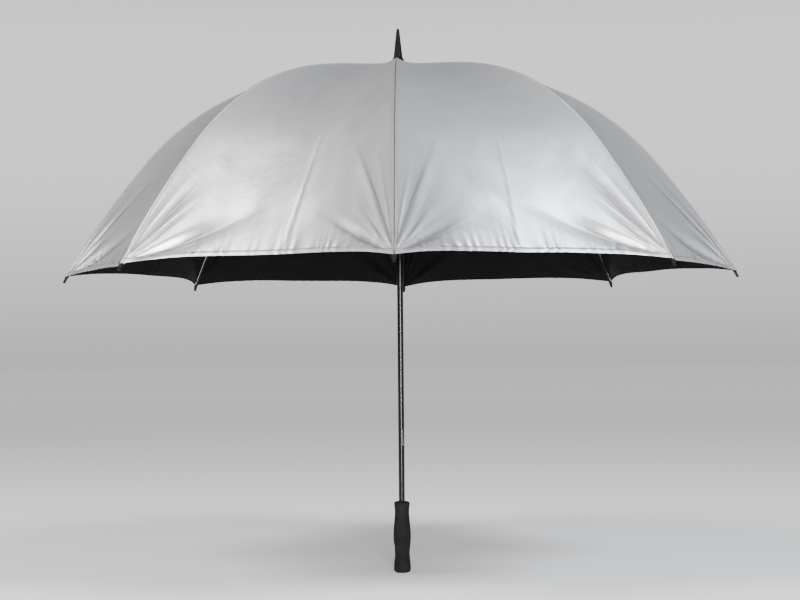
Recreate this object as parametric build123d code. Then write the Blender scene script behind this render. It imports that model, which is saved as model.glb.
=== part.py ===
from build123d import *
import math
import os

# An eight-rib golf umbrella, open. Millimetres, +Z up along the shaft.
# The origin is the centre of the grip's flat bottom face. Rib 0 lies over +X.

# Driving dimensions
RIB_COUNT = 8
RIB_STEP = 360 / RIB_COUNT
TIP_RADIUS = 625.0
TIP_HEIGHT = 535.0

# The canopy seam over a rib: tangent arcs as (length, slope at start, slope at end), down from level.
SEAM_START = (10.0, 925.4)
SEAM_ARCS = [(190.0, -3.0, 10.5), (317.0, 10.5, 49.7), (270.0, 49.7, 58.9)]
SEAM_LENGTH = sum(arc[0] for arc in SEAM_ARCS)

# Canopy cloth
CLOTH_THICK = 0.6
CLOTH_GAP = 0.25
CLOTH_START = -1.5
CORNER_FROM_END = 11.5
HEM_RISE = 36.0
HEM_BEND = 2.6
HOLLOW = 40.8
HOLLOW_POWER = 0.862
TENT_HEIGHT = 17.0
TENT_REACH = 35.0

# Ribs and stretchers
ROD_R = 1.8
RIB_DROP = 3.2
PIVOT_R = 14.0
CROWN_Z = 922.2
BLADE_THICK = 2.0
EYE_R = 2.6
BLADE_LENGTH = 12.0
NECK_LENGTH = 13.0
WIRE_R = 0.6
WIRE_HOLE_R = 0.8
JOINT_AT = 360.0
JOINT_DROP = 5.0
JOINT_PIN_R = 1.0
JOINT_PIN_HOLE_R = 1.1
CLIP_GAP = 1.9
CLIP_PLATE = 0.9
CLIP_DROP = 1.5
CLIP_BAR = 3.0
BALL_R = 1.7
TIP_CAP_R = 2.5
TIP_CAP_LENGTH = 19.0

# Crown notch and runner
FLANGE_R = 17.0
FLANGE_HEIGHT = 8.0
SLOT_FLOOR_R = 11.0
SLOT_WIDTH = 2.8
GROOVE_FLOOR_R = 13.3
GROOVE_HEIGHT = 1.4
SLEEVE_R = 9.5
SLEEVE_LENGTH = 42.0
RUNNER_BORE_R = 5.6
KEYWAY_R = 8.5
KEYWAY_WIDTH = 3.2

# Shaft, catches, ferrule and grip
SHAFT_R = 5.5
SHAFT_WALL = 0.8
SHAFT_BOTTOM = 14.0
SHAFT_TOP = 962.0
CATCH_AZIMUTH = 292.5
CATCH_THICK = 2.0
CATCH_REACH = 7.9
CATCH_SLOT_WIDTH = 2.6
CLOSED_RUNNER_Z = 228.0
FERRULE_BASE_Z = 945.0
FERRULE_TOP_Z = 1003.0
GRIP_LENGTH = 130.0


def azimuth(shape, degrees):
    return Rot(0, 0, degrees) * shape


def seam_point(s):
    """Radius, height and slope in degrees of the seam, at arc length s from its start."""
    r, z = SEAM_START
    for length, start, end in SEAM_ARCS:
        step = min(s, length)
        turn = math.radians(end - start) / length
        a = math.radians(start)
        b = a + turn * step
        r += (math.sin(b) - math.sin(a)) / turn
        z += (math.cos(b) - math.cos(a)) / turn
        s -= step
        if s <= 0:
            break
    return r, z, math.degrees(b)


def rib_point(s, drop=RIB_DROP):
    """Point in the XZ plane at arc length s, that far under the seam."""
    r, z, slope = seam_point(s)
    a = math.radians(slope)
    return Vector(r - drop * math.sin(a), 0, z - drop * math.cos(a))


def rib_wire(start, end):
    """The rib's axis between two arc lengths, as arcs."""
    ends = [0.0]
    for length, _, _ in SEAM_ARCS:
        ends.append(ends[-1] + length)
    cuts = [start] + [e for e in ends if start < e < end] + [end]
    arcs = []
    for a, b in zip(cuts[:-1], cuts[1:]):
        arcs.append(Edge.make_three_point_arc(rib_point(a), rib_point((a + b) / 2), rib_point(b)))
    return Wire(arcs)


def rod_along(wire, radius):
    return sweep(Plane(wire @ 0, z_dir=wire % 0) * Circle(radius), path=wire)


def plate(start, end, thick, height):
    """A flat bar standing in the XZ plane from one point to another."""
    span = end - start
    turn = -math.degrees(math.atan2(span.Z, span.X))
    return Pos(*((start + end) / 2)) * Rot(0, turn, 0) * Box(span.length, thick, height)


def disc_y(centre, radius, thick):
    return Pos(*centre) * Rot(90, 0, 0) * Cylinder(radius, thick)


def eye(centre, towards, hole_r, thick):
    """A flattened rod end: a round eye and a blade that runs to the full rod."""
    along = (towards - centre).normalized()
    blade = plate(centre, centre + along * BLADE_LENGTH, thick, 2 * ROD_R)
    return disc_y(centre, EYE_R, thick) + blade - disc_y(centre, hole_r, 2 * thick)


CROWN_PIVOT = Vector(PIVOT_R, 0, CROWN_Z)
JOINT_PIVOT = rib_point(JOINT_AT, RIB_DROP + JOINT_DROP)
FLEX_POINT = rib_point(JOINT_AT)
LINK_LENGTH = (JOINT_PIVOT - CROWN_PIVOT).length
RUNNER_Z = 2 * JOINT_PIVOT.Z - CROWN_Z
RUNNER_PIVOT = Vector(PIVOT_R, 0, RUNNER_Z)
TOP_CATCH_Z = RUNNER_Z - FLANGE_HEIGHT / 2 - SLEEVE_LENGTH - 0.3
BOTTOM_CATCH_Z = CLOSED_RUNNER_Z + FLANGE_HEIGHT / 2 + 0.3


def rib_inner():
    body = rod_along(rib_wire(NECK_LENGTH, JOINT_AT - 3.0), ROD_R)
    neck = eye(CROWN_PIVOT, rib_point(NECK_LENGTH + 4.0), WIRE_HOLE_R, BLADE_THICK)
    return body + neck + joint_clip()


def joint_clip():
    """Two side plates with a block on the rib's end and the pin that carries the stretcher."""
    half = CLIP_GAP + CLIP_PLATE
    heel = rib_point(JOINT_AT - 12.0, RIB_DROP + CLIP_DROP)
    toe = rib_point(JOINT_AT - 5.0, RIB_DROP + CLIP_DROP)
    block = plate(heel, toe, 2 * half, CLIP_BAR)
    cheek = plate(heel, rib_point(JOINT_AT + 2.0, RIB_DROP + CLIP_DROP), CLIP_PLATE, CLIP_BAR)
    cheek += plate(FLEX_POINT + (JOINT_PIVOT - FLEX_POINT) * 0.2, JOINT_PIVOT, CLIP_PLATE, 5.0)
    cheek += disc_y(JOINT_PIVOT, 2.5, CLIP_PLATE)
    offset = CLIP_GAP + CLIP_PLATE / 2
    pin = disc_y(JOINT_PIVOT, JOINT_PIN_R, 2 * half + 1.2)
    return block + Pos(0, offset, 0) * cheek + Pos(0, -offset, 0) * cheek + pin


def rib_outer():
    rod = rod_along(rib_wire(JOINT_AT, SEAM_LENGTH - 6.0), ROD_R - 0.15)
    return rod + Pos(*FLEX_POINT) * Sphere(BALL_R)


def rib_tip():
    """A tapered cap with a ball nose and the cross hole that the canopy corner is sewn through."""
    end = rib_point(SEAM_LENGTH)
    start = rib_point(SEAM_LENGTH - TIP_CAP_LENGTH)
    along = (end - start).normalized()
    plane = Plane(start, x_dir=(0, 1, 0), z_dir=along)
    body = Cone(ROD_R + 0.5, TIP_CAP_R, TIP_CAP_LENGTH - TIP_CAP_R, align=(Align.CENTER, Align.CENTER, Align.MIN))
    body += Pos(0, 0, TIP_CAP_LENGTH - TIP_CAP_R) * Sphere(TIP_CAP_R)
    body -= Cylinder(ROD_R, TIP_CAP_LENGTH - 5.5, align=(Align.CENTER, Align.CENTER, Align.MIN))
    body -= Pos(0, 0, TIP_CAP_LENGTH - 3.2) * Rot(0, 90, 0) * Cylinder(0.7, 4 * TIP_CAP_R)
    return plane * body


def stretcher():
    along = (RUNNER_PIVOT - JOINT_PIVOT).normalized()
    inset = along * (BLADE_LENGTH - 3.0)
    middle = Wire([Edge.make_line(JOINT_PIVOT + inset, RUNNER_PIVOT - inset)])
    rod = rod_along(middle, ROD_R)
    outer_eye = eye(JOINT_PIVOT, RUNNER_PIVOT, JOINT_PIN_HOLE_R, BLADE_THICK)
    inner_eye = eye(RUNNER_PIVOT, JOINT_PIVOT, WIRE_HOLE_R, BLADE_THICK)
    return rod + outer_eye + inner_eye


def slotted_flange():
    """Toothed ring with one slot for each rod end and a groove for the wire that pins them."""
    ring = Cylinder(FLANGE_R, FLANGE_HEIGHT)
    ring = fillet(ring.edges().group_by(Axis.Z)[0] + ring.edges().group_by(Axis.Z)[-1], 0.8)
    slot = Pos(SLOT_FLOOR_R + FLANGE_R / 2, 0, 0) * Box(FLANGE_R, SLOT_WIDTH, 2 * FLANGE_HEIGHT)
    for k in range(RIB_COUNT):
        ring -= azimuth(slot, k * RIB_STEP)
    groove = Cylinder(FLANGE_R + 1, GROOVE_HEIGHT) - Cylinder(GROOVE_FLOOR_R, GROOVE_HEIGHT)
    return ring - groove


def crown_notch():
    hub = Pos(0, 0, -FLANGE_HEIGHT / 2 - 5) * Cylinder(SLEEVE_R, 10)
    body = slotted_flange() + hub - Cylinder(SHAFT_R, 60)
    return Pos(0, 0, CROWN_Z) * body


def pivot_wire(height):
    return Pos(0, 0, height) * Torus(PIVOT_R, WIRE_R)


def runner_sleeve():
    foot = -FLANGE_HEIGHT / 2 - SLEEVE_LENGTH
    sleeve = Pos(0, 0, foot + SLEEVE_LENGTH / 2) * Cylinder(SLEEVE_R, SLEEVE_LENGTH)
    collar = Pos(0, 0, foot + 3) * Cylinder(SLEEVE_R + 1.2, 6)
    body = slotted_flange() + sleeve + fillet(collar.edges().filter_by(GeomType.CIRCLE), 1.0)
    body -= Cylinder(RUNNER_BORE_R, 4 * SLEEVE_LENGTH)
    keyway = Pos(KEYWAY_R / 2, 0, 0) * Box(KEYWAY_R, KEYWAY_WIDTH, 4 * SLEEVE_LENGTH)
    body -= azimuth(keyway, CATCH_AZIMUTH)
    return Pos(0, 0, RUNNER_Z) * body


def shaft_tube():
    length = SHAFT_TOP - SHAFT_BOTTOM
    tube = Cylinder(SHAFT_R, length) - Cylinder(SHAFT_R - SHAFT_WALL, length)
    tube = Pos(0, 0, (SHAFT_TOP + SHAFT_BOTTOM) / 2) * tube
    for z in (TOP_CATCH_Z - 13, BOTTOM_CATCH_Z + 13):
        slot = Pos(SHAFT_R, 0, z) * Box(SHAFT_R, CATCH_SLOT_WIDTH, 32)
        tube -= azimuth(slot, CATCH_AZIMUTH)
    return tube


def catch(height, way):
    """Spring tongue in the shaft: a square shoulder that holds the runner, and a ramp it rides over."""
    inner = -0.8
    root = SHAFT_R - SHAFT_WALL - 0.6
    outline = [(inner, 1), (CATCH_REACH, 0), (CATCH_REACH, -3), (root, -26), (root, -34), (inner, -34)]
    points = [(x, y * way) for x, y in outline]
    face = make_face(Polyline(*points, close=True))
    tongue = extrude(Plane.XZ * face, CATCH_THICK / 2, both=True)
    return azimuth(Pos(0, 0, height) * tongue, CATCH_AZIMUTH)


def ferrule():
    """Moulded cone with a foot flange, hollow where the shaft's end enters it."""
    top_r = 2.7
    points = [(0, FERRULE_BASE_Z), (10.0, FERRULE_BASE_Z), (10.0, FERRULE_BASE_Z + 2.5)]
    points += [(8.4, FERRULE_BASE_Z + 4.5), (top_r, FERRULE_TOP_Z - 2.0), (top_r - 1.2, FERRULE_TOP_Z)]
    points += [(0, FERRULE_TOP_Z)]
    cone = revolve(Plane.XZ * make_face(Polyline(*points, close=True)), Axis.Z)
    depth = SHAFT_TOP - FERRULE_BASE_Z
    return cone - Pos(0, 0, FERRULE_BASE_Z + depth / 2) * Cylinder(SHAFT_R, depth)


def canopy_washer():
    ring = Cylinder(11.5, 0.8) - Cylinder(SHAFT_R, 0.8)
    return Pos(0, 0, FERRULE_BASE_Z - 0.4) * ring


def grip():
    """Foam-rubber grip, waisted for the fingers, with rounded ends."""
    side = Spline([(15.3, 7), (13.6, 30), (15.8, 59), (13.5, 103), (14.4, 124)], tangents=[(0.1, 1), (0.15, 1)])
    foot = ThreePointArc((10.5, 0), (14.0, 1.9), (15.3, 7))
    head = ThreePointArc((14.4, 124), (13.4, 128.4), (10.0, GRIP_LENGTH))
    rim = Polyline((10.0, GRIP_LENGTH), (0, GRIP_LENGTH), (0, 0), (10.5, 0))
    body = revolve(Plane.XZ * make_face([foot, side, head, rim]), Axis.Z)
    body -= Pos(0, 0, 70) * Cylinder(SHAFT_R, 2 * GRIP_LENGTH)
    return body - Pos(0, 0, 5) * Cylinder(7.0, 10)


def grip_plug():
    """Plug that closes the shaft's foot, under a disc set into the grip."""
    disc = Pos(0, 0, 5.5) * Cylinder(7.0, 9)
    stem = Pos(0, 0, 20) * Cylinder(SHAFT_R - SHAFT_WALL, 20)
    neck = Pos(0, 0, 12) * Cylinder(SHAFT_R, 4)
    return disc + neck + stem


def cloth_point(s, v):
    """Cloth at arc length s along the seam: v is 0 on the gore's middle line and 1 on the seam."""
    r, z, slope = seam_point(s)
    a = math.radians(slope)
    hollow = HOLLOW * (r / TIP_RADIUS) ** HOLLOW_POWER * (1 - v * v)
    half = math.radians(RIB_STEP / 2)
    out = r * math.cos(half) - hollow * math.sin(a)
    across = CLOTH_GAP + (r * math.sin(half) - 2 * CLOTH_GAP) * v
    lift = TENT_HEIGHT * math.exp(-(r - SEAM_START[0]) / TENT_REACH)
    return Vector(out, across, z - hollow * math.cos(a) + lift)


def half_gore(side):
    """Half a gore: a thin curved sheet from its middle line, on +X, to the seam on that side."""
    rows = 12
    columns = 7
    grid = []
    for j in range(columns):
        v = j / (columns - 1)
        hem = SEAM_LENGTH - CORNER_FROM_END - HEM_RISE * (1 - v**HEM_BEND)
        line = []
        for i in range(rows):
            p = cloth_point(CLOTH_START + (hem - CLOTH_START) * i / (rows - 1), v)
            line.append(Vector(p.X, side * p.Y, p.Z))
        grid.append(line)
    sheet = Face.make_surface_from_array_of_points(grid, tol=0.2, max_deg=5)
    return Solid.thicken(sheet, CLOTH_THICK, normal_override=(1, 0, 1))


def build():
    parts = {
        "shaft_tube": shaft_tube(),
        "ferrule": ferrule(),
        "canopy_washer": canopy_washer(),
        "crown_notch": crown_notch(),
        "crown_wire": pivot_wire(CROWN_Z),
        "runner_sleeve": runner_sleeve(),
        "runner_wire": pivot_wire(RUNNER_Z),
        "top_catch": catch(TOP_CATCH_Z, 1),
        "bottom_catch": catch(BOTTOM_CATCH_Z, -1),
        "grip": grip(),
        "grip_plug": grip_plug(),
    }
    per_rib = {
        "rib_inner": rib_inner(),
        "rib_outer": rib_outer(),
        "rib_tip": rib_tip(),
        "stretcher": stretcher(),
    }
    halves = {"left": half_gore(-1), "right": half_gore(1)}
    for k in range(RIB_COUNT):
        for name, shape in per_rib.items():
            parts[f"{name}_{round(k * RIB_STEP)}"] = azimuth(shape, k * RIB_STEP)
        for name, shape in halves.items():
            parts[f"gore_{k + 1}_{name}"] = azimuth(shape, (k + 0.5) * RIB_STEP)
    return parts


os.makedirs("parts", exist_ok=True)
for name, shape in build().items():
    export_step(shape, f"parts/{name}.step")
print("tip", rib_point(SEAM_LENGTH), "joint", JOINT_PIVOT, "runner", RUNNER_PIVOT, "link", LINK_LENGTH)
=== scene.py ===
import math
import bmesh
import bpy
import numpy as np
from mathutils import Matrix, Vector


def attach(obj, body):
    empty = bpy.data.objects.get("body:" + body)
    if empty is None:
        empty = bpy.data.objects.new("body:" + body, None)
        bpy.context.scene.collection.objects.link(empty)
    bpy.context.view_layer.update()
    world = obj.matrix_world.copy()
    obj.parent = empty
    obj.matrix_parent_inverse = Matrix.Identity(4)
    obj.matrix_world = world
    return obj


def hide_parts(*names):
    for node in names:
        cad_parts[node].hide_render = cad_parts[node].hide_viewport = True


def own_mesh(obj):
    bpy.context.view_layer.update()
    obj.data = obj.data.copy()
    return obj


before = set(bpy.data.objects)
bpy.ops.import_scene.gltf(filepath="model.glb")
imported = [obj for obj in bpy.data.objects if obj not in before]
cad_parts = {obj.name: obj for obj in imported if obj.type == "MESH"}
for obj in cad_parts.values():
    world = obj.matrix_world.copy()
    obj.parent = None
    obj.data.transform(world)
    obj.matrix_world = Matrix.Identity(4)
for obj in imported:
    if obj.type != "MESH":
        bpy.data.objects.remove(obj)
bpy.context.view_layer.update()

# ---------------------------------------------------------------------------------------------------------
# The studio: a pale floor that runs out of sight, a pale room that is darker overhead, and soft lights in
# front. The umbrella stands upright on its grip, seen from about knee height and three metres away.

FLOOR_COLOUR = "#F1F1F0"
FLOOR_GLOW = 0.25
FLOOR_FAR_GLOW = 0.46
FLOOR_GLOW_REACH = (2.0, 12.0)
ROOM_COLOUR = "#FBFCFF"
ROOM_LIGHT = 1.15
ROOM_GRADIENT = ((0.0, 0.55), (0.10, 0.95), (0.18, 1.0), (0.38, 0.20), (1.0, 0.12))
EYE_PLACE = (0.0417, -3.064, 0.4044)
EYE_HEADING = 0.0137
EYE_PITCH = math.radians(1.786)
EYE_ROLL = -0.0086
LENS_MM = 74.77
SENSOR_MM = 36.0
FLOOR_HALF = 40.0
SOFTBOXES = (
    ("key_softbox", (-2.2, -2.3, 4.0), (0.0, 0.0, 0.75), 1.7, 160.0, "#FFFAF4"),
    ("fill_softbox", (2.2, -2.3, 3.8), (0.0, 0.0, 0.75), 1.5, 190.0, "#EFF5FF"),
    ("low_softbox", (0.4, -4.8, 0.45), (0.0, 0.0, 0.65), 1.0, 420.0, "#FFFFFF"),
    ("side_softbox", (-4.6, -0.9, 1.9), (0.0, 0.0, 0.7), 1.6, 60.0, "#FFFFFF"),
)


def linear(hex_colour):
    """An sRGB hex colour as linear red, green, blue and alpha."""
    channels = [int(hex_colour[i:i + 2], 16) / 255 for i in (1, 3, 5)]
    return [c / 12.92 if c <= 0.04045 else ((c + 0.055) / 1.055) ** 2.4 for c in channels] + [1.0]


def add_node(tree, kind, settings=None, links=None):
    """Adds one node, sets its sockets or properties by name, and links sockets to other nodes' outputs."""
    made = tree.nodes.new(kind)
    for name, value in (settings or {}).items():
        if name in made.inputs:
            made.inputs[name].default_value = value
        else:
            setattr(made, name, value)
    for name, output in (links or {}).items():
        tree.links.new(made.inputs[name], output)
    return made


def new_material(name):
    """An empty node material, with its tree."""
    material = bpy.data.materials.new(name)
    material.use_nodes = True
    material.node_tree.nodes.clear()
    return material, material.node_tree


def finish_material(tree, shader):
    """Joins the shader to the material's output."""
    add_node(tree, "ShaderNodeOutputMaterial", {}, {"Surface": shader.outputs["BSDF"]})


def painted_floor():
    """Matt floor paint that glows a little with painted light, more so far off, so that it meets the room without a
    line.
    """
    material, tree = new_material("matt_floor_paint")
    place = add_node(tree, "ShaderNodeTexCoord")
    grain = add_node(
        tree, "ShaderNodeTexNoise", {"Scale": 60.0, "Detail": 3.0}, {"Vector": place.outputs["Object"]},
    )
    bump = add_node(tree, "ShaderNodeBump", {"Strength": 0.05, "Distance": 0.001}, {"Height": grain.outputs["Fac"]})
    far = add_node(tree, "ShaderNodeVectorMath", {"operation": "LENGTH"}, {"Vector": place.outputs["Object"]})
    # Painted light: the floor emits its own colour, more strongly far off.
    glow = add_node(
        tree, "ShaderNodeMapRange",
        {
            "From Min": FLOOR_GLOW_REACH[0], "From Max": FLOOR_GLOW_REACH[1],
            "To Min": FLOOR_GLOW, "To Max": FLOOR_FAR_GLOW,
        },
        {"Value": far.outputs["Value"]},
    )
    shader = add_node(
        tree, "ShaderNodeBsdfPrincipled",
        {
            "Base Color": linear(FLOOR_COLOUR), "Roughness": 0.85, "Specular IOR Level": 0.2,
            "Emission Color": linear(FLOOR_COLOUR),
        },
        {"Normal": bump.outputs["Normal"], "Emission Strength": glow.outputs["Result"]},
    )
    finish_material(tree, shader)
    return material


def build_studio():
    """Floor, room, soft lights and camera."""
    mesh = bpy.data.meshes.new("floor")
    h = FLOOR_HALF
    mesh.from_pydata([(-h, -h, 0), (h, -h, 0), (h, h, 0), (-h, h, 0)], [], [(0, 1, 2, 3)])
    floor = bpy.data.objects.new("floor", mesh)
    floor.data.materials.append(painted_floor())
    bpy.context.scene.collection.objects.link(floor)
    world = bpy.data.worlds.new("pale_room")
    world.use_nodes = True
    tree = world.node_tree
    way = add_node(tree, "ShaderNodeTexCoord").outputs["Generated"]
    height = add_node(tree, "ShaderNodeSeparateXYZ", {}, {"Vector": way}).outputs["Z"]
    light = add_node(tree, "ShaderNodeValToRGB", {}, {"Fac": height})
    stops = light.color_ramp.elements
    for place, share in ROOM_GRADIENT[1:-1]:
        stops.new(place)
    for stop, (place, share) in zip(stops, ROOM_GRADIENT):
        stop.position = place
        stop.color = (share, share, share, 1.0)
    power = add_node(tree, "ShaderNodeMath", {"operation": "MULTIPLY"})
    tree.links.new(power.inputs[0], light.outputs["Color"])
    power.inputs[1].default_value = ROOM_LIGHT
    background = tree.nodes["Background"]
    background.inputs["Color"].default_value = linear(ROOM_COLOUR)
    tree.links.new(background.inputs["Strength"], power.outputs["Value"])
    bpy.context.scene.world = world
    for name, place, aim, size, power, colour in SOFTBOXES:
        lamp = bpy.data.lights.new(name, "AREA")
        lamp.shape = "DISK"
        lamp.size = size
        lamp.energy = power
        lamp.color = linear(colour)[:3]
        holder = bpy.data.objects.new(name, lamp)
        holder.location = place
        holder.rotation_euler = (Vector(aim) - Vector(place)).to_track_quat("-Z", "Y").to_euler()
        bpy.context.scene.collection.objects.link(holder)
    camera = bpy.data.objects.new("camera", bpy.data.cameras.new("camera"))
    camera.data.lens = LENS_MM
    camera.data.sensor_width = SENSOR_MM
    turn = Matrix.Rotation(EYE_HEADING, 4, "Z") @ Matrix.Rotation(math.pi / 2 + EYE_PITCH, 4, "X")
    camera.matrix_world = Matrix.Translation(EYE_PLACE) @ turn @ Matrix.Rotation(EYE_ROLL, 4, "Z")
    bpy.context.scene.collection.objects.link(camera)
    bpy.context.scene.camera = camera


build_studio()

# ---------------------------------------------------------------------------------------------------------
# The shaft: one drawn steel tube, 11 mm outside, that carries everything. It is dipped in black gloss
# enamel, which leaves a faint orange peel and two long highlights. Two slots in it hold the catches.

ENAMEL_BLACK = "#060607"
ENAMEL_SCUFFED = "#0F0F10"


def dress(names, material):
    """Gives CAD parts that keep their own shape a finished material."""
    for name in names:
        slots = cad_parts[name].data.materials
        slots.clear()
        slots.append(material)


def gloss_enamel():
    """Stoved enamel, IOR 1.5: deep black gloss with 3 mm orange peel and slightly duller, greyer scuffs."""
    material, tree = new_material("black_gloss_enamel")
    place = add_node(tree, "ShaderNodeTexCoord").outputs["Object"]
    scuffs = add_node(
        tree, "ShaderNodeTexNoise", {"Scale": 90.0, "Detail": 6.0, "Roughness": 0.7}, {"Vector": place},
    )
    worn = add_node(
        tree, "ShaderNodeMapRange", {"From Min": 0.52, "From Max": 0.75}, {"Value": scuffs.outputs["Fac"]},
    ).outputs["Result"]
    colour = add_node(tree, "ShaderNodeMix", {"data_type": "RGBA"}, {"Factor": worn})
    colour.inputs["A"].default_value = linear(ENAMEL_BLACK)
    colour.inputs["B"].default_value = linear(ENAMEL_SCUFFED)
    dull = add_node(tree, "ShaderNodeMapRange", {"To Min": 0.24, "To Max": 0.3}, {"Value": worn})
    peel = add_node(tree, "ShaderNodeTexNoise", {"Scale": 330.0, "Detail": 1.0}, {"Vector": place})
    bump = add_node(tree, "ShaderNodeBump", {"Strength": 0.02, "Distance": 0.0003}, {"Height": peel.outputs["Fac"]})
    shader = add_node(
        tree, "ShaderNodeBsdfPrincipled", {"IOR": 1.5, "Specular IOR Level": 0.2},
        {
            "Base Color": colour.outputs["Result"],
            "Roughness": dull.outputs["Result"],
            "Normal": bump.outputs["Normal"],
        },
    )
    finish_material(tree, shader)
    return material


dress(["shaft_tube"], gloss_enamel())

# ---------------------------------------------------------------------------------------------------------
# The grip: a sleeve of black foam rubber, waisted for the fingers and pushed over the shaft, with a hard
# rubber plug in its foot. Its skin is matt, with fine pores and a few greyer rubbed patches.

FOAM_BLACK = "#0E0E0F"
FOAM_RUBBED = "#191818"


def foam_rubber():
    """Closed-cell foam, IOR 1.5: dead matt, with 0.8 mm cells in the skin and soft greyer patches."""
    material, tree = new_material("black_foam_rubber")
    place = add_node(tree, "ShaderNodeTexCoord").outputs["Object"]
    rubbed = add_node(tree, "ShaderNodeTexNoise", {"Scale": 45.0, "Detail": 5.0}, {"Vector": place})
    cells = add_node(tree, "ShaderNodeTexVoronoi", {"Scale": 1250.0}, {"Vector": place})
    patch = add_node(
        tree, "ShaderNodeMapRange", {"From Min": 0.4, "From Max": 0.7}, {"Value": rubbed.outputs["Fac"]},
    )
    colour = add_node(tree, "ShaderNodeMix", {"data_type": "RGBA"}, {"Factor": patch.outputs["Result"]})
    colour.inputs["A"].default_value = linear(FOAM_BLACK)
    colour.inputs["B"].default_value = linear(FOAM_RUBBED)
    rough = add_node(
        tree, "ShaderNodeMapRange", {"To Min": 0.72, "To Max": 0.9}, {"Value": cells.outputs["Distance"]},
    )
    bump = add_node(
        tree, "ShaderNodeBump", {"Strength": 0.5, "Distance": 0.0004}, {"Height": cells.outputs["Distance"]},
    )
    shader = add_node(
        tree, "ShaderNodeBsdfPrincipled", {"IOR": 1.5, "Specular IOR Level": 0.16},
        {
            "Base Color": colour.outputs["Result"],
            "Roughness": rough.outputs["Result"],
            "Normal": bump.outputs["Normal"],
        },
    )
    finish_material(tree, shader)
    return material


dress(["grip", "grip_plug"], foam_rubber())

# ---------------------------------------------------------------------------------------------------------
# The catches: two tongues of blued spring steel in the shaft's slots. The upper one holds the runner up
# while the umbrella is open, and the lower one holds it down when it is shut.

BLUED_STEEL = "#6C6F75"
BRIGHT_STEEL = "#9DA0A4"


def spring_steel(name, dark, bright, rough_low, rough_high):
    """Hardened steel strip or wire, a metal: grey with fine drawn marks that change its gloss."""
    material, tree = new_material(name)
    place = add_node(tree, "ShaderNodeTexCoord").outputs["Object"]
    marks = add_node(tree, "ShaderNodeTexNoise", {"Scale": 420.0, "Detail": 4.0}, {"Vector": place})
    colour = add_node(tree, "ShaderNodeMix", {"data_type": "RGBA"}, {"Factor": marks.outputs["Fac"]})
    colour.inputs["A"].default_value = linear(dark)
    colour.inputs["B"].default_value = linear(bright)
    gloss = add_node(
        tree, "ShaderNodeMapRange", {"To Min": rough_low, "To Max": rough_high}, {"Value": marks.outputs["Fac"]},
    )
    bump = add_node(tree, "ShaderNodeBump", {"Strength": 0.1, "Distance": 0.0001}, {"Height": marks.outputs["Fac"]})
    shader = add_node(
        tree, "ShaderNodeBsdfPrincipled", {"Metallic": 1.0},
        {
            "Base Color": colour.outputs["Result"],
            "Roughness": gloss.outputs["Result"],
            "Normal": bump.outputs["Normal"],
        },
    )
    finish_material(tree, shader)
    return material


dress(["top_catch", "bottom_catch"], spring_steel("blued_spring_steel", BLUED_STEEL, BRIGHT_STEEL, 0.25, 0.45))

# ---------------------------------------------------------------------------------------------------------
# The crown notch, fixed near the shaft's top, and the runner that slides on it: both moulded in black nylon
# with eight slots for the rod ends. A ring of drawn wire, twisted tight in a groove, is every rod's hinge pin.

NYLON_BLACK = "#060607"
NYLON_GREY = "#0C0C0D"
WIRE_GREY = "#8A8C90"
WIRE_BRIGHT = "#C9CBCE"


def moulded_nylon():
    """Injection-moulded nylon, IOR 1.53: satin black with the 0.5 mm grain of a spark-eroded mould."""
    material, tree = new_material("moulded_black_nylon")
    place = add_node(tree, "ShaderNodeTexCoord").outputs["Object"]
    flow = add_node(tree, "ShaderNodeTexNoise", {"Scale": 60.0, "Detail": 3.0}, {"Vector": place})
    grain = add_node(tree, "ShaderNodeTexNoise", {"Scale": 2000.0, "Detail": 2.0}, {"Vector": place})
    colour = add_node(tree, "ShaderNodeMix", {"data_type": "RGBA"}, {"Factor": flow.outputs["Fac"]})
    colour.inputs["A"].default_value = linear(NYLON_BLACK)
    colour.inputs["B"].default_value = linear(NYLON_GREY)
    rough = add_node(tree, "ShaderNodeMapRange", {"To Min": 0.3, "To Max": 0.48}, {"Value": flow.outputs["Fac"]})
    bump = add_node(
        tree, "ShaderNodeBump", {"Strength": 0.15, "Distance": 0.0001}, {"Height": grain.outputs["Fac"]},
    )
    shader = add_node(
        tree, "ShaderNodeBsdfPrincipled", {"IOR": 1.53, "Specular IOR Level": 0.1},
        {
            "Base Color": colour.outputs["Result"],
            "Roughness": rough.outputs["Result"],
            "Normal": bump.outputs["Normal"],
        },
    )
    finish_material(tree, shader)
    return material


nylon = moulded_nylon()
dress(["crown_notch", "runner_sleeve"], nylon)
dress(["crown_wire", "runner_wire"], spring_steel("drawn_steel_wire", WIRE_GREY, WIRE_BRIGHT, 0.2, 0.35))

# ---------------------------------------------------------------------------------------------------------
# The ribs: eight rods of pultruded glass fibre in black resin, each in an inner and an outer length that
# meet at a clip, and eight straight stretchers of the same rod that prop the clips from the runner.

FIBRE_BLACK = "#0C0C0E"
FIBRE_GREY = "#1B1C1E"
RIB_COUNT = 8
RIB_AZIMUTHS = [360 // RIB_COUNT * k for k in range(RIB_COUNT)]


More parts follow.
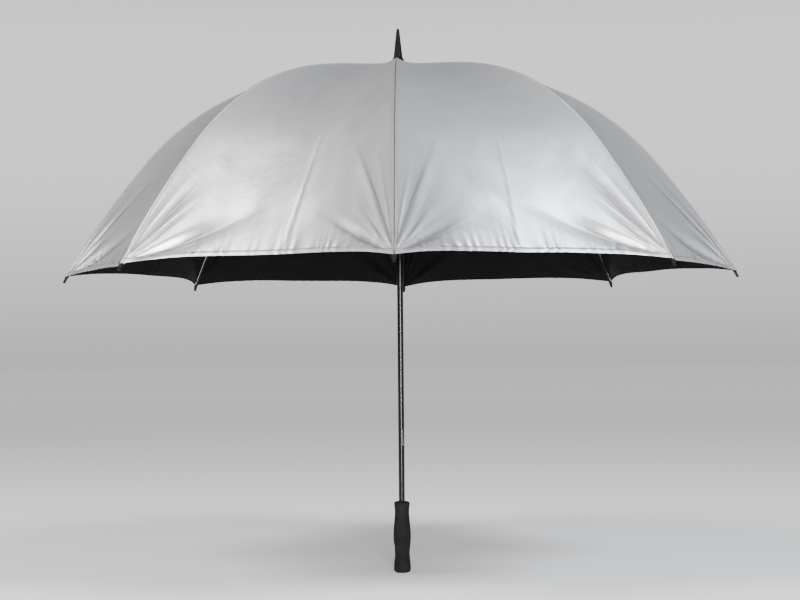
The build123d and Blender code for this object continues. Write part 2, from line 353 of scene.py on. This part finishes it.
def glass_fibre_rod():
    """Polished resin over glass strands, IOR 1.52: near black, with greyer streaks where strands lie high."""
    material, tree = new_material("black_glass_fibre")
    place = add_node(tree, "ShaderNodeTexCoord").outputs["Object"]
    strands = add_node(
        tree, "ShaderNodeTexNoise", {"Scale": 700.0, "Detail": 3.0, "Distortion": 0.6}, {"Vector": place},
    )
    streak = add_node(
        tree, "ShaderNodeMapRange", {"From Min": 0.45, "From Max": 0.75}, {"Value": strands.outputs["Fac"]},
    )
    colour = add_node(tree, "ShaderNodeMix", {"data_type": "RGBA"}, {"Factor": streak.outputs["Result"]})
    colour.inputs["A"].default_value = linear(FIBRE_BLACK)
    colour.inputs["B"].default_value = linear(FIBRE_GREY)
    gloss = add_node(tree, "ShaderNodeMapRange", {"To Min": 0.3, "To Max": 0.46}, {"Value": strands.outputs["Fac"]})
    bump = add_node(
        tree, "ShaderNodeBump", {"Strength": 0.12, "Distance": 0.0001}, {"Height": strands.outputs["Fac"]},
    )
    shader = add_node(
        tree, "ShaderNodeBsdfPrincipled", {"IOR": 1.52, "Specular IOR Level": 0.3},
        {
            "Base Color": colour.outputs["Result"],
            "Roughness": gloss.outputs["Result"],
            "Normal": bump.outputs["Normal"],
        },
    )
    finish_material(tree, shader)
    return material


rod_names = [f"{part}_{a}" for part in ("rib_inner", "rib_outer", "stretcher") for a in RIB_AZIMUTHS]
dress(rod_names, glass_fibre_rod())

# ---------------------------------------------------------------------------------------------------------
# The rib tips: black nylon caps with a ball nose, glued on the rods' ends. Each has a cross hole, and the
# canopy's corner is sewn to it with three turns of waxed black thread.

THREAD_BLACK = "#09090A"
THREAD_SHINE = "#141415"
SEAM_START = (0.010, 0.9254)
SEAM_ARCS = ((0.190, -3.0, 10.5), (0.317, 10.5, 49.7), (0.270, 49.7, 58.9))
SEAM_LENGTH = sum(arc[0] for arc in SEAM_ARCS)
RIB_DROP = 0.0032
CORNER_FROM_END = 0.0115
HOLE_FROM_END = 0.0032
THREAD_R = 0.00032
THREAD_PITCH = 0.0011
STITCH_INSET = 0.0015
LOOP_HALF = 0.0029


def seam_line(s):
    """Radius, height and slope of the seam over a rib at arc lengths s from the crown."""
    s = np.asarray(s, float)
    r = np.full(s.shape, SEAM_START[0])
    z = np.full(s.shape, SEAM_START[1])
    slope = np.full(s.shape, math.radians(SEAM_ARCS[0][1]))
    start = 0.0
    for length, first, last in SEAM_ARCS:
        turn = math.radians(last - first) / length
        a = math.radians(first)
        low = -1.0 if start == 0 else 0.0
        b = a + turn * np.clip(s - start, low, length)
        r += (np.sin(b) - math.sin(a)) / turn
        z += (np.cos(b) - math.cos(a)) / turn
        slope = np.where(s > start, b, slope)
        start += length
    return r, z, slope


def rib_place(s, azimuth, drop=RIB_DROP):
    """Point under the seam at arc length s, with the rib's own directions, sideways and up."""
    r, z, slope = (float(x) for x in seam_line(s))
    spin = Matrix.Rotation(math.radians(azimuth), 3, "Z")
    point = spin @ Vector((r - drop * math.sin(slope), 0, z - drop * math.cos(slope)))
    return point, spin @ Vector((0, 1, 0)), spin @ Vector((math.sin(slope), 0, math.cos(slope)))


def add_ring(mesh, centre, long_way, short_way, long_r, short_r, section, turns=28):
    """A closed band round an oval: section holds the band's outline as (outward, endways) offsets."""
    endways = long_way.cross(short_way).normalized()
    loops = []
    for i in range(turns):
        a = 2 * math.pi * i / turns
        at = centre + long_way * (long_r * math.cos(a)) + short_way * (short_r * math.sin(a))
        out = (long_way * (short_r * math.cos(a)) + short_way * (long_r * math.sin(a))).normalized()
        loops.append([mesh.verts.new(at + out * u + endways * w) for u, w in section])
    for i in range(turns):
        here, there = loops[i], loops[(i + 1) % turns]
        for j in range(len(section)):
            k = (j + 1) % len(section)
            mesh.faces.new((here[j], here[k], there[k], there[j]))


def piece_from(name, mesh, material, body):
    """Turns a finished bmesh into a smooth piece that rides on a body."""
    bmesh.ops.recalc_face_normals(mesh, faces=mesh.faces)
    data = bpy.data.meshes.new(name)
    mesh.to_mesh(data)
    mesh.free()
    data.polygons.foreach_set("use_smooth", np.ones(len(data.polygons), bool))
    data.materials.append(material)
    piece = bpy.data.objects.new(name, data)
    bpy.context.scene.collection.objects.link(piece)
    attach(piece, body)
    return piece


def waxed_thread():
    """Twisted polyester thread, waxed: black, with a soft shine. Its 0.5 mm plies are drawn 1.6 mm apart."""
    material, tree = new_material("waxed_black_thread")
    place = add_node(tree, "ShaderNodeTexCoord").outputs["Object"]
    plies = add_node(tree, "ShaderNodeTexWave", {"Scale": 230.0, "bands_direction": "DIAGONAL"}, {"Vector": place})
    colour = add_node(tree, "ShaderNodeMix", {"data_type": "RGBA"}, {"Factor": plies.outputs["Fac"]})
    colour.inputs["A"].default_value = linear(THREAD_BLACK)
    colour.inputs["B"].default_value = linear(THREAD_SHINE)
    bump = add_node(tree, "ShaderNodeBump", {"Strength": 0.5, "Distance": 0.0002}, {"Height": plies.outputs["Fac"]})
    shader = add_node(
        tree, "ShaderNodeBsdfPrincipled", {"Roughness": 0.55, "Specular IOR Level": 0.2},
        {"Base Color": colour.outputs["Result"], "Normal": bump.outputs["Normal"]},
    )
    finish_material(tree, shader)
    return material


def sew_tips():
    """Three turns of thread at each rib's tip, from the cap's hole to the cloth's corner."""
    thread = waxed_thread()
    outline = [(THREAD_R * math.cos(math.pi * i / 4), THREAD_R * math.sin(math.pi * i / 4)) for i in range(8)]
    for azimuth in RIB_AZIMUTHS:
        hole, sideways, _ = rib_place(SEAM_LENGTH - HOLE_FROM_END, azimuth)
        corner = rib_place(SEAM_LENGTH - CORNER_FROM_END - STITCH_INSET, azimuth, drop=0.0)[0]
        mesh = bmesh.new()
        for turn in (-1, 0, 1):
            far = corner + sideways * (THREAD_PITCH * turn)
            reach = far - hole
            add_ring(mesh, (far + hole) / 2, reach.normalized(), sideways, reach.length / 2, LOOP_HALF, outline)
        piece_from(f"tip_thread_{azimuth}", mesh, thread, f"rib_outer_{azimuth}")


dress([f"rib_tip_{a}" for a in RIB_AZIMUTHS], nylon)
sew_tips()

# ---------------------------------------------------------------------------------------------------------
# The rib ties: loops of black cotton tape, 5 mm wide, sewn to the canopy's seams and closed round the rods.
# They hold the cloth to each rib at five places between the crown and the tip.

TAPE_BLACK = "#0B0B0C"
TAPE_FADED = "#161617"
TIE_PLACES = {"rib_inner": (0.09, 0.18, 0.27), "rib_outer": (0.47, 0.61)}
TIE_R = 0.0023
TIE_SLACK = 0.0004
TIE_LIFT = 0.0003
TAPE_WIDE = 0.005
TAPE_THICK = 0.0004


def cotton_tape():
    """Herringbone tape, dull and slightly faded: diagonal ribs, drawn 2.3 mm apart where the real are 0.5 mm."""
    material, tree = new_material("black_cotton_tape")
    place = add_node(tree, "ShaderNodeTexCoord").outputs["Object"]
    ribs = add_node(tree, "ShaderNodeTexWave", {"Scale": 160.0, "bands_direction": "DIAGONAL"}, {"Vector": place})
    fading = add_node(tree, "ShaderNodeTexNoise", {"Scale": 200.0, "Detail": 3.0}, {"Vector": place})
    colour = add_node(tree, "ShaderNodeMix", {"data_type": "RGBA"}, {"Factor": fading.outputs["Fac"]})
    colour.inputs["A"].default_value = linear(TAPE_BLACK)
    colour.inputs["B"].default_value = linear(TAPE_FADED)
    bump = add_node(tree, "ShaderNodeBump", {"Strength": 0.4, "Distance": 0.0002}, {"Height": ribs.outputs["Fac"]})
    shader = add_node(
        tree, "ShaderNodeBsdfPrincipled", {"Roughness": 0.85, "Specular IOR Level": 0.2},
        {"Base Color": colour.outputs["Result"], "Normal": bump.outputs["Normal"]},
    )
    finish_material(tree, shader)
    return material


def tie_ribs():
    """Five loops of tape on each rib, three on its inner length and two on its outer one."""
    tape = cotton_tape()
    half = TAPE_WIDE / 2
    outline = [(0, -half), (TAPE_THICK, -half), (TAPE_THICK, half), (0, half)]
    for azimuth in RIB_AZIMUTHS:
        for part, places in TIE_PLACES.items():
            mesh = bmesh.new()
            for s in places:
                rod, sideways, up = rib_place(s, azimuth)
                add_ring(mesh, rod + up * TIE_LIFT, sideways, up, TIE_R, TIE_R + TIE_SLACK, outline)
            piece_from(f"{part}_ties_{azimuth}", mesh, tape, f"{part}_{azimuth}")


tie_ribs()

# ---------------------------------------------------------------------------------------------------------
# The canopy: eight gores of silver-coated polyester, black inside, seamed over the ribs and hemmed. Each
# gore is pulled tight between its ribs, so it is hollow along its middle, and it wrinkles at the sewn tips.
# A gore is made as two halves that meet on its middle line, because each half folds its own way.

TIP_RADIUS = 0.625
HEM_RISE = 0.036
HEM_BEND = 2.6
HOLLOW = 0.0408
HOLLOW_POWER = 0.862
TENT_HEIGHT = 0.017
TENT_REACH = 0.035
CLOTH_FROM = -0.0015
CLOTH_INSIDE = 0.0001
CLOTH_THICK = 0.0005
ROWS = 160
COLUMNS = 76
HEM_BAND = 0.009
SEAM_BAND = 0.003
SHARP_FOLD = 0.0009
FIRST_SEED = 11
# Each fan of wrinkles at a tip, from the seam inwards: degrees from the seam, half width in degrees, reach in
# metres, and height in millimetres, below the cloth where it is negative.
FAN_DIRECTIONS = (4, 8, 13, 18, 24, 32, 43, 54, 68)
FAN_WIDTHS = (1.1, 1.2, 1.4, 1.6, 2.0, 3.0, 4.0, 5.0, 4.0)
FAN_REACHES = (0.16, 0.25, 0.20, 0.27, 0.19, 0.15, 0.17, 0.23, 0.11)
FAN_HEIGHTS = (1.5, -2.8, 2.8, -5.6, 4.8, -4.2, 6.0, -16.0, 6.0)
FAN_LEAST_WIDTH = 0.0016
BROAD_SWELL = 0.0006
FINE_SWELL = 0.00015
SEAM_PUCKER = 0.00030
SEAM_PUCKER_STEP = 0.013
HEM_RIPPLE = 0.0026
HEM_RIPPLE_STEP = 0.017
CREASE_DEPTH = 0.0014
CREASE_WIDTH = 0.0022
CREASE_REACH = 0.26
HEM_STEP = 0.0007
HEM_STITCH_DIP = 0.0006
SEAM_STEP = 0.0005
FOLD_AXIS = (-0.40920, 0.14876, -0.90024)
SILVER = "#B7B8BA"
SILVER_LIGHT = "#C2C3C5"
INSIDE_BLACK = "#09090A"
INSIDE_FADED = "#101012"
CREASE_SHADE_GREY = "#6E6F71"
THREAD_GREY = "#A4A5A7"


def stretched_cloth(s, v):
    """The tight gore with its middle on +X: v runs from -1 on one seam to 1 on the other."""
    r, z, slope = seam_line(s)
    half = math.pi / RIB_COUNT
    hollow = HOLLOW * (r / TIP_RADIUS) ** HOLLOW_POWER * (1 - v * v)
    lift = TENT_HEIGHT * np.exp(-(r - SEAM_START[0]) / TENT_REACH)
    out = r * math.cos(half) - hollow * np.sin(slope)
    return np.stack([out, r * math.sin(half) * v, z - hollow * np.cos(slope) + lift], -1)


def soft_step(x, low, high):
    """Rises smoothly from 0 at low to 1 at high."""
    t = np.clip((x - low) / (high - low), 0, 1)
    return t * t * (3 - 2 * t)


def slow_noise(x, y, rng, waves=7):
    """Smooth random hills of about unit size and unit spacing."""
    total = np.zeros(np.broadcast(x, y).shape)
    for _ in range(waves):
        angle, phase = rng.uniform(0, 2 * math.pi, 2)
        rate = rng.uniform(0.5, 1.4)
        total += np.sin(2 * math.pi * rate * (x * math.cos(angle) + y * math.sin(angle)) + phase)
    return total / math.sqrt(waves)


def tip_wrinkles(along, across, rng):
    """Wrinkles that fan out of a sewn corner: sharp ones near the seam, then one broad soft fold."""
    far = np.hypot(along, across)
    angle = np.arctan2(across, np.maximum(along, 1e-6))
    lift = np.zeros(far.shape)
    count = len(FAN_DIRECTIONS)
    directions = np.radians(FAN_DIRECTIONS) + np.radians(rng.uniform(-1.5, 1.5, count))
    widths = np.radians(FAN_WIDTHS)
    reaches = np.array(FAN_REACHES) * rng.uniform(0.8, 1.15, count)
    heights = np.array(FAN_HEIGHTS) * rng.uniform(0.7, 1.2, count) / 1000
    for direction, width, reach, height in zip(directions, widths, reaches, heights):
        off = np.abs(angle - direction) * far / (FAN_LEAST_WIDTH + width * far)
        fade = soft_step(far, 0.0, 0.03 + 0.8 * width) * np.clip(1 - far / reach, 0, 1)
        lift += height * fade * np.exp(-0.5 * off ** 1.5)
    return lift


def cloth_relief(s, v, hem, rng):
    """Height of every wrinkle, pucker and band above the tight cloth, in metres."""
    r, _, _ = seam_line(s)
    half_width = r * math.sin(math.pi / RIB_COUNT)
    from_seam = half_width * (1 - np.abs(v))
    from_hem = hem - s
    from_end = SEAM_LENGTH - CORNER_FROM_END - s
    fans = [tip_wrinkles(from_end, half_width * (1 + side * v), rng) for side in (-1, 1)]
    lift = fans[0] + fans[1]
    broad = BROAD_SWELL * slow_noise(s / 0.26, half_width * v / 0.15, rng)
    broad += FINE_SWELL * slow_noise(s / 0.09, half_width * v / 0.05, rng)
    lift += broad * soft_step(from_seam, 0.0, 0.06) * soft_step(s, 0.05, 0.35)
    pucker = np.sin(2 * math.pi * (s / SEAM_PUCKER_STEP + 0.35 * slow_noise(s / 0.08, 0 * v, rng)))
    strength = 0.5 + 0.5 * np.tanh(1.5 * slow_noise(s / 0.11, np.sign(v), rng))
    lift += SEAM_PUCKER * pucker * strength * np.exp(-from_seam / 0.010) * soft_step(from_seam, 0.0005, 0.004)
    ripple = np.sin(2 * math.pi * (half_width * v / HEM_RIPPLE_STEP + 0.5 * slow_noise(v * 3, 0 * s, rng)))
    uneven = 0.55 + 0.45 * np.tanh(1.5 * slow_noise(v * 4, 0 * s + 0.3, rng))
    held = 0.25 + 0.75 * soft_step(from_hem, 0.002, HEM_BAND + 0.004)
    gather = ripple * uneven * held * np.exp(-from_hem / 0.016)
    lift += HEM_RIPPLE * gather * soft_step(from_seam, 0.01, 0.05)
    crease_place = 0.16 * rng.uniform(-1, 1) + 0.10 * (from_hem / 0.25)
    off = (v - crease_place) * half_width / CREASE_WIDTH
    crease = np.exp(-off * off) * np.clip(1 - from_hem / CREASE_REACH, 0, 1) ** 0.6
    lift -= CREASE_DEPTH * crease * soft_step(from_hem, -0.01, 0.02)
    lift += HEM_STEP * (1 - soft_step(from_hem, HEM_BAND - 0.001, HEM_BAND + 0.001))
    lift -= HEM_STITCH_DIP * np.exp(-((from_hem - HEM_BAND) / 0.0016) ** 2)
    lift += SEAM_STEP * (1 - soft_step(from_seam, SEAM_BAND - 0.0008, SEAM_BAND + 0.0008))
    return lift * soft_step(s, 0.0, 0.02)


def local_mean(values, reach):
    """Average over a square of grid points round each one."""
    padded = np.pad(values, reach, mode="edge")
    total = np.zeros(values.shape)
    for i in range(2 * reach + 1):
        for j in range(2 * reach + 1):
            total += padded[i:i + values.shape[0], j:j + values.shape[1]]
    return total / (2 * reach + 1) ** 2


def gore_surface(seed):
    """One whole gore: points, outward normals, flat pattern, and how far the seam is with how deep a valley for
    painted crease shade.
    """
    rng = np.random.RandomState(seed)
    t = np.linspace(0, 1, ROWS)[:, None]
    w = np.linspace(-1, 1, 2 * COLUMNS + 1)[None, :]
    v = 0.6 * np.sin(math.pi / 2 * w) + 0.4 * w + 0 * t
    hem = SEAM_LENGTH - CORNER_FROM_END - HEM_RISE * (1 - np.abs(v) ** HEM_BEND)
    down = t * (1 + 0.65 * (1 - t))
    s = CLOTH_FROM + (hem - CLOTH_FROM) * down
    tight = stretched_cloth(s, v)
    half_width = seam_line(s)[0] * math.sin(math.pi / RIB_COUNT)

    def normals(points):
        n = np.cross(np.gradient(points, axis=0), np.gradient(points, axis=1))
        n /= np.maximum(np.linalg.norm(n, axis=2, keepdims=True), 1e-12)
        return n * np.sign(n[ROWS // 2, COLUMNS, 2])

    level = normals(tight)
    relief = cloth_relief(s, v, hem, rng)
    points = tight + level * (relief + CLOTH_INSIDE)[..., None]
    # How far each point lies below its neighbours: the deeper valleys get a painted shade.
    hills = (relief - local_mean(relief, 4)) / SHARP_FOLD
    inboard = soft_step(half_width * (1 - np.abs(v)), 0.001, 0.005)
    marks = np.stack([half_width * (1 - np.abs(v)), np.clip(-hills, 0, 1) * inboard], -1)
    pattern = np.stack([half_width * v, s], -1)
    return points, normals(points), pattern, marks


def sheet_mesh(name, points, normals, pattern, marks, thick):
    """A closed thin sheet from a grid: outside first, then inside, with a rim round the edge."""
    rows, columns = points.shape[:2]
    count = rows * columns
    outside = (points + normals * thick).reshape(-1, 3)
    inside = points.reshape(-1, 3)
    index = np.arange(count).reshape(rows, columns)
    quads = np.stack([index[:-1, :-1], index[1:, :-1], index[1:, 1:], index[:-1, 1:]], -1).reshape(-1, 4)
    a, b, c = (outside[quads[len(quads) // 2, i]] for i in range(3))
    if np.dot(np.cross(b - a, c - a), normals[rows // 2, columns // 2]) < 0:
        quads = quads[:, ::-1]
    ring = np.concatenate([index[0, :-1], index[:-1, -1], index[-1, :0:-1], index[:0:-1, 0]])
    following = np.roll(ring, -1)
    first = quads[(quads == ring[0]).any(1)][0]
    at = list(first).index(ring[0])
    if first[(at + 1) % 4] == following[0]:
        rim = np.stack([following, ring, ring + count, following + count], -1)
    else:
        rim = np.stack([ring, following, following + count, ring + count], -1)
    faces = np.concatenate([quads, quads[:, ::-1] + count, rim])
    mesh = bpy.data.meshes.new(name)
    mesh.from_pydata(np.concatenate([outside, inside]).tolist(), [], faces.tolist())
    slots = np.concatenate([np.zeros(len(quads)), np.ones(len(quads)), np.zeros(len(rim))])
    mesh.polygons.foreach_set("material_index", slots.astype(np.int32))
    corner_vertex = faces.reshape(-1)
    # The marks layer holds the distance from the seam, for the stitching, and the depth of the painted crease
    # shade.
    for layer, values in (("pattern", pattern), ("marks", marks)):
        both = np.concatenate([values.reshape(-1, 2)] * 2)
        mesh.uv_layers.new(name=layer).data.foreach_set("uv", both[corner_vertex].astype(np.float32).reshape(-1))
    flat = normals.reshape(-1, 3)
    shading = np.concatenate([flat, -flat])[corner_vertex]
    mesh.polygons.foreach_set("use_smooth", np.ones(len(faces), bool))
    mesh.normals_split_custom_set(shading.tolist())
    return mesh


def silver_coated_polyester():
    """Pongee with an aluminium-pigment coating: a satin, slightly uneven silver with a just visible weave, and
    painted shade in its creases.
    """
    material, tree = new_material("silver_coated_polyester")
    pattern = add_node(tree, "ShaderNodeUVMap", {"uv_map": "pattern"})
    marks = add_node(tree, "ShaderNodeUVMap", {"uv_map": "marks"})
    place = add_node(tree, "ShaderNodeTexCoord")
    cloud = add_node(
        tree, "ShaderNodeTexNoise", {"Scale": 7.0, "Detail": 4.0, "Roughness": 0.6},
        {"Vector": place.outputs["Object"]},
    )
    tone = add_node(tree, "ShaderNodeMix", {"data_type": "RGBA"}, {"Factor": cloud.outputs["Fac"]})
    tone.inputs["A"].default_value = linear(SILVER)
    tone.inputs["B"].default_value = linear(SILVER_LIGHT)
    parts = add_node(tree, "ShaderNodeSeparateXYZ", {}, {"Vector": marks.outputs["UV"]})
    stitched = add_node(
        tree, "ShaderNodeMapRange", {"From Min": 0.0003, "From Max": 0.0009, "To Min": 1.0, "To Max": 0.0},
        {"Value": parts.outputs["X"]},
    )
    colour = add_node(
        tree, "ShaderNodeMix", {"data_type": "RGBA"},
        {"Factor": stitched.outputs["Result"], "A": tone.outputs["Result"]},
    )
    colour.inputs["B"].default_value = linear(THREAD_GREY)
    # Painted shade: the cloth turns grey in the deeper crease valleys.
    shade = add_node(tree, "ShaderNodeMapRange", {"To Max": 0.75}, {"Value": parts.outputs["Y"]})
    crease_shaded = add_node(
        tree, "ShaderNodeMix", {"data_type": "RGBA"},
        {"Factor": shade.outputs["Result"], "A": colour.outputs["Result"]},
    )
    crease_shaded.inputs["B"].default_value = linear(CREASE_SHADE_GREY)
    # The real weave is about 0.15 mm from thread to thread. It is drawn 1.6 mm, the finest that shows.
    warp = add_node(
        tree, "ShaderNodeTexWave", {"Scale": 200.0, "bands_direction": "X"}, {"Vector": pattern.outputs["UV"]},
    )
    weft = add_node(
        tree, "ShaderNodeTexWave", {"Scale": 200.0, "bands_direction": "Y"}, {"Vector": pattern.outputs["UV"]},
    )
    weave = add_node(tree, "ShaderNodeMath", {"operation": "MULTIPLY"})
    tree.links.new(weave.inputs[0], warp.outputs["Fac"])
    tree.links.new(weave.inputs[1], weft.outputs["Fac"])
    crumple = add_node(
        tree, "ShaderNodeTexNoise", {"Scale": 38.0, "Detail": 6.0, "Roughness": 0.62},
        {"Vector": place.outputs["Object"]},
    )
    weave_bump = add_node(
        tree, "ShaderNodeBump", {"Strength": 0.12, "Distance": 0.0002}, {"Height": weave.outputs["Value"]},
    )
    bump = add_node(
        tree, "ShaderNodeBump", {"Strength": 0.4, "Distance": 0.0016},
        {"Height": crumple.outputs["Fac"], "Normal": weave_bump.outputs["Normal"]},
    )
    satin = add_node(
        tree, "ShaderNodeMapRange", {"To Min": 0.32, "To Max": 0.42}, {"Value": cloud.outputs["Fac"]},
    )
    shader = add_node(
        tree, "ShaderNodeBsdfPrincipled", {"Metallic": 0.7, "IOR": 1.5},
        {
            "Base Color": crease_shaded.outputs["Result"],
            "Roughness": satin.outputs["Result"],
            "Normal": bump.outputs["Normal"],
        },
    )
    finish_material(tree, shader)
    return material


def black_lining_face():
    """The uncoated inside of the same pongee, dyed black: dull, its 0.15 mm weave drawn 2.2 mm."""
    material, tree = new_material("black_pongee_inside")
    pattern = add_node(tree, "ShaderNodeUVMap", {"uv_map": "pattern"})
    place = add_node(tree, "ShaderNodeTexCoord")
    cloud = add_node(
        tree, "ShaderNodeTexNoise", {"Scale": 30.0, "Detail": 5.0}, {"Vector": place.outputs["Object"]},
    )
    tone = add_node(tree, "ShaderNodeMix", {"data_type": "RGBA"}, {"Factor": cloud.outputs["Fac"]})
    tone.inputs["A"].default_value = linear(INSIDE_BLACK)
    tone.inputs["B"].default_value = linear(INSIDE_FADED)
    weave = add_node(
        tree, "ShaderNodeTexWave", {"Scale": 200.0, "bands_direction": "DIAGONAL"},
        {"Vector": pattern.outputs["UV"]},
    )
    bump = add_node(
        tree, "ShaderNodeBump", {"Strength": 0.15, "Distance": 0.0002}, {"Height": weave.outputs["Fac"]},
    )
    shader = add_node(
        tree, "ShaderNodeBsdfPrincipled", {"Roughness": 0.72, "Specular IOR Level": 0.07},
        {"Base Color": tone.outputs["Result"], "Normal": bump.outputs["Normal"]},
    )
    finish_material(tree, shader)
    return material


def turned(points, degrees):
    """Points or directions turned about the shaft."""
    spin = np.array(Matrix.Rotation(math.radians(degrees), 3, "Z"))
    return points @ spin.T


silver = silver_coated_polyester()


def build_canopy():
    """Sixteen half gores, each riding on its own half of the CAD canopy and folding flat with it."""
    black = black_lining_face()
    for k in range(RIB_COUNT):
        points, normals, pattern, marks = gore_surface(FIRST_SEED + k)
        middle = 360 / RIB_COUNT * (k + 0.5)
        for side, span in (("left", slice(0, COLUMNS + 1)), ("right", slice(COLUMNS, None))):
            name = f"gore_{k + 1}_{side}"
            half = [a[:, span] for a in (points, normals, pattern, marks)]
            half[0], half[1] = turned(half[0], middle), turned(half[1], middle)
            piece = bpy.data.objects.new(f"canopy_{name}", sheet_mesh(name, *half, CLOTH_THICK))
            piece.data.materials.append(silver)
            piece.data.materials.append(black)
            bpy.context.scene.collection.objects.link(piece)
            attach(piece, name)
            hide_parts(name)
            fold = np.array(FOLD_AXIS)
            if side == "right":
                mirror = np.array([-math.sin(math.pi / RIB_COUNT), math.cos(math.pi / RIB_COUNT), 0])
                fold = fold - 2 * mirror * fold.dot(mirror)
            fold = turned(fold, 360 / RIB_COUNT * k)
            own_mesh(piece)


build_canopy()

# ---------------------------------------------------------------------------------------------------------
# The crown: a rosette of the canopy's silver cloth glued round the shaft under the eight gore points, a
# black washer above them, and the ferrule, a nylon cone with a foot flange that clamps them all down.

ROSETTE_RINGS = ((0.0058, 0.9408), (0.0085, 0.9396), (0.0125, 0.9372), (0.0160, 0.9345), (0.0178, 0.9315))
ROSETTE_THICK = 0.0004
ROSETTE_TURNS = 64
ROSETTE_WAVE = 0.0004


def rosette():
    """A thin cloth disc with a hole for the shaft, lifted a little over each rib."""
    mesh = bmesh.new()
    rings = [(r, z) for r, z in ROSETTE_RINGS] + [(r, z - ROSETTE_THICK) for r, z in reversed(ROSETTE_RINGS)]
    edge_r = ROSETTE_RINGS[-1][0]
    loops = []
    for i in range(ROSETTE_TURNS):
        a = 2 * math.pi * i / ROSETTE_TURNS
        dip = ROSETTE_WAVE * math.cos(RIB_COUNT * a)
        loops.append([mesh.verts.new((r * math.cos(a), r * math.sin(a), z + dip * r / edge_r)) for r, z in rings])
    for i in range(ROSETTE_TURNS):
        here, there = loops[i], loops[(i + 1) % ROSETTE_TURNS]
        for j in range(len(rings)):
            k = (j + 1) % len(rings)
            mesh.faces.new((here[j], there[j], there[k], here[k]))
    return piece_from("crown_rosette", mesh, silver, "root")


rosette()
dress(["canopy_washer"], cotton_tape())
dress(["ferrule"], nylon)
